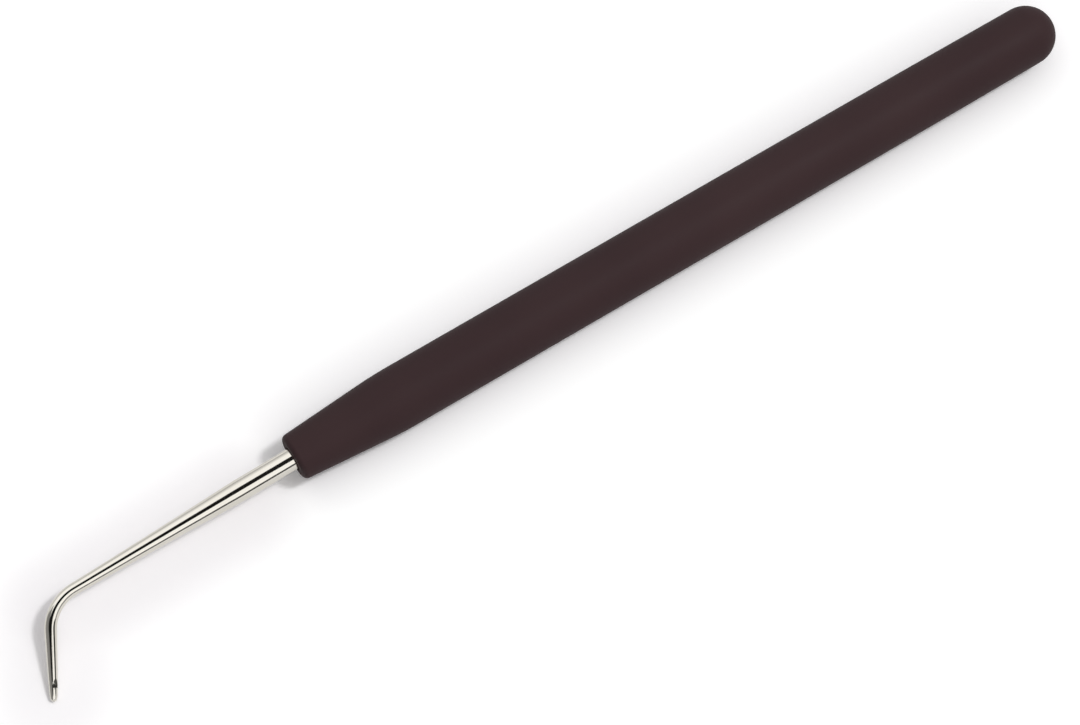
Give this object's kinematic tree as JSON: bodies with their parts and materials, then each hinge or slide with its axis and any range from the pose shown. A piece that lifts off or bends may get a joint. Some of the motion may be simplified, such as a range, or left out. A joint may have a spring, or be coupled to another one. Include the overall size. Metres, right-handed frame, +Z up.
{
  "type": "crochet hook",
  "caption": "Crochet hook with a tapered steel shank bent near its blunt tip, a fine throat behind the tip, and a straight round soft-grip handle with a narrowed front and a domed end.",
  "frame": {"origin": "centre of the underside of the bounding box, with the handle lying on the surface and the tip touching it", "axes": "+X along the handle towards its domed rear end, the hook at -X with its leg pointing to -Y and down, +Z up"},
  "size_m": [0.1722, 0.0162, 0.0089],
  "materials": {
    "nickel_plated_steel": "polished warm nickel plate on steel wire",
    "black_nylon": "plain moulded black plastic, hidden inside the grip",
    "soft_touch_grip": "matt soft-touch elastomer, dark aubergine brown"
  },
  "bodies": {
    "root": {"hook_shank": "nickel_plated_steel", "handle_core": "black_nylon", "grip_sleeve": "soft_touch_grip"}
  },
  "joints": []
}
